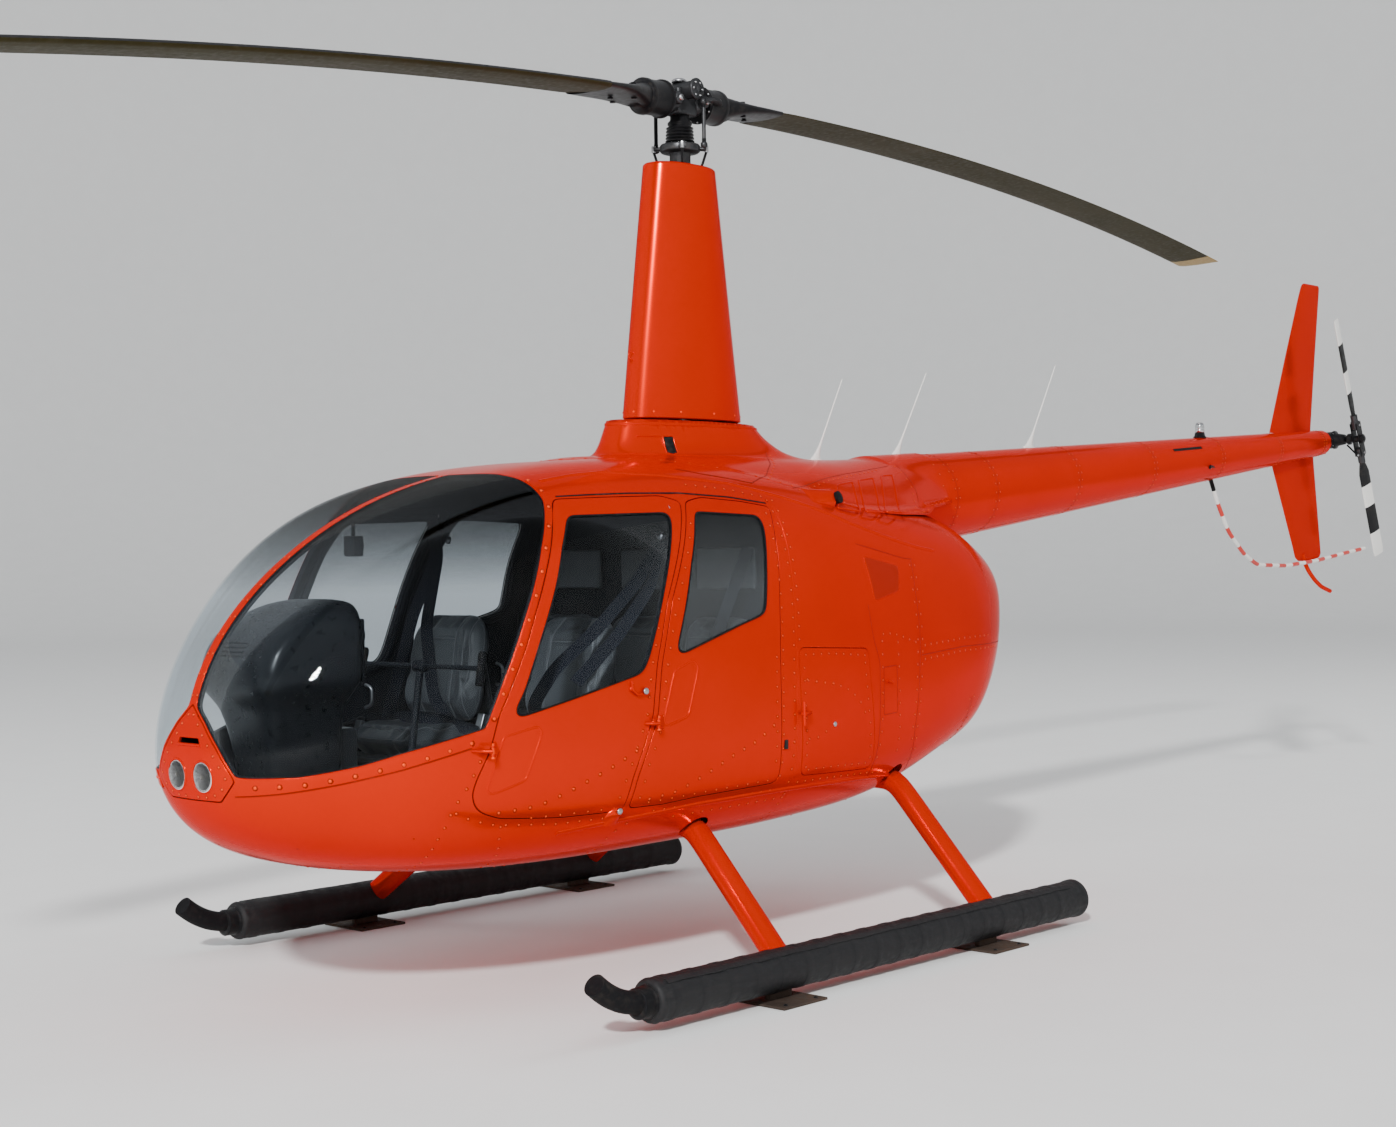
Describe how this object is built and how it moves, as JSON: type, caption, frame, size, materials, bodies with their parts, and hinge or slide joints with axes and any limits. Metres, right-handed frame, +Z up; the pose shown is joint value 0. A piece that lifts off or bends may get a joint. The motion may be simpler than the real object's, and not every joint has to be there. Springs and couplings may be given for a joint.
{
  "type": "light turbine helicopter on skids with stowed floats",
  "caption": "Light helicopter with a two-blade main rotor on a tall mast, tail boom with tail rotor, glazed cabin with side doors, and skids that carry stowed floats.",
  "frame": {"origin": "on the ground at the middle of the whole object's box", "axes": "+Z up, nose towards -Y, port (left) side towards +X; the mast axis stands at y = -0.6152"},
  "size_m": [2.53, 11.272, 3.48],
  "materials": {
    "orange_paint": "gloss orange-red paint",
    "clear_glazing": "clear acrylic",
    "lamp_chrome": "polished lamp reflector",
    "cabin_black": "dark textured plastic and carpet",
    "seat_leather": "dark grey leather with pale stitching",
    "dark_metal": "dark grey coated metal",
    "bare_steel": "satin",
    "gear_black": "worn black paint",
    "guard_paint": "red and white bands",
    "blade_black": "satin black with coloured bands",
    "antenna_white": "white",
    "red_lens": "red lens",
    "float_fabric": "black coated cloth"
  },
  "bodies": {
    "airframe": {"cabin_lower_shell": "orange_paint", "cabin_roof_frame": "orange_paint", "aft_body_shell": "orange_paint", "nose_panel": "orange_paint", "mast_cowling": "orange_paint", "mast_fairing": "orange_paint", "tail_cone": "orange_paint", "upper_fin": "orange_paint", "lower_fin": "orange_paint", "tail_skid": "orange_paint", "cross_tube_front": "orange_paint", "cross_tube_rear": "orange_paint", "windshield_port": "clear_glazing", "windshield_starboard": "clear_glazing", "landing_lights": "lamp_chrome", "cabin_floor": "cabin_black", "cabin_bulkhead": "cabin_black", "seat_base_front": "cabin_black", "seat_base_rear": "cabin_black", "instrument_console": "cabin_black", "cyclic_stick": "cabin_black", "compass": "cabin_black", "seat_front_port": "seat_leather", "seat_front_starboard": "seat_leather", "seat_rear_bench": "seat_leather", "pedals_port": "dark_metal", "pedals_starboard": "dark_metal", "engine_block": "dark_metal", "swashplate": "dark_metal", "baggage_bay_liner": "bare_steel", "exhaust_pipe": "bare_steel", "tail_gearbox": "gear_black", "skid_port": "gear_black", "skid_starboard": "gear_black", "tail_guard": "guard_paint", "antenna_front": "antenna_white", "antenna_middle": "antenna_white", "antenna_rear": "antenna_white", "beacon": "red_lens", "float_port": "float_fabric", "float_starboard": "float_fabric"},
    "main_rotor": {"main_rotor_hub": "dark_metal", "main_blade_rear": "blade_black", "main_blade_front": "blade_black", "mast_tube": "bare_steel"},
    "tail_rotor": {"tail_rotor_hub": "dark_metal", "tail_blade_upper": "blade_black", "tail_blade_lower": "blade_black"},
    "door_front_port": {"door_front_port": "orange_paint", "window_front_port": "clear_glazing"},
    "door_rear_port": {"door_rear_port": "orange_paint", "window_rear_port": "clear_glazing"},
    "door_front_starboard": {"door_front_starboard": "orange_paint", "window_front_starboard": "clear_glazing"},
    "door_rear_starboard": {"door_rear_starboard": "orange_paint", "window_rear_starboard": "clear_glazing"},
    "baggage_door": {"baggage_door": "orange_paint"}
  },
  "joints": [
    {"name": "main_rotor_spin", "type": "hinge", "parent": "airframe", "child": "main_rotor", "pos_m": [0, -0.6152, 3.385], "axis": [0, 0, 1], "continuous": true},
    {"name": "tail_rotor_spin", "type": "hinge", "parent": "airframe", "child": "tail_rotor", "pos_m": [0.19, 5.2048, 2.18], "axis": [1, 0, 0], "continuous": true},
    {"name": "door_front_port_hinge", "type": "hinge", "parent": "airframe", "child": "door_front_port", "pos_m": [0.694, -2.2872, 0.905], "axis": [0, 0, -1], "range_deg": [0, 75]},
    {"name": "door_front_starboard_hinge", "type": "hinge", "parent": "airframe", "child": "door_front_starboard", "pos_m": [-0.694, -2.2872, 0.905], "axis": [0, 0, 1], "range_deg": [0, 75]},
    {"name": "door_rear_port_hinge", "type": "hinge", "parent": "airframe", "child": "door_rear_port", "pos_m": [0.766, -1.5772, 0.95], "axis": [0, 0, -1], "range_deg": [0, 75]},
    {"name": "door_rear_starboard_hinge", "type": "hinge", "parent": "airframe", "child": "door_rear_starboard", "pos_m": [-0.766, -1.5772, 0.95], "axis": [0, 0, 1], "range_deg": [0, 75]},
    {"name": "baggage_door_hinge", "type": "hinge", "parent": "airframe", "child": "baggage_door", "pos_m": [0.764, -0.7812, 0.93], "axis": [0, 0, -1], "range_deg": [0, 90]}
  ]
}
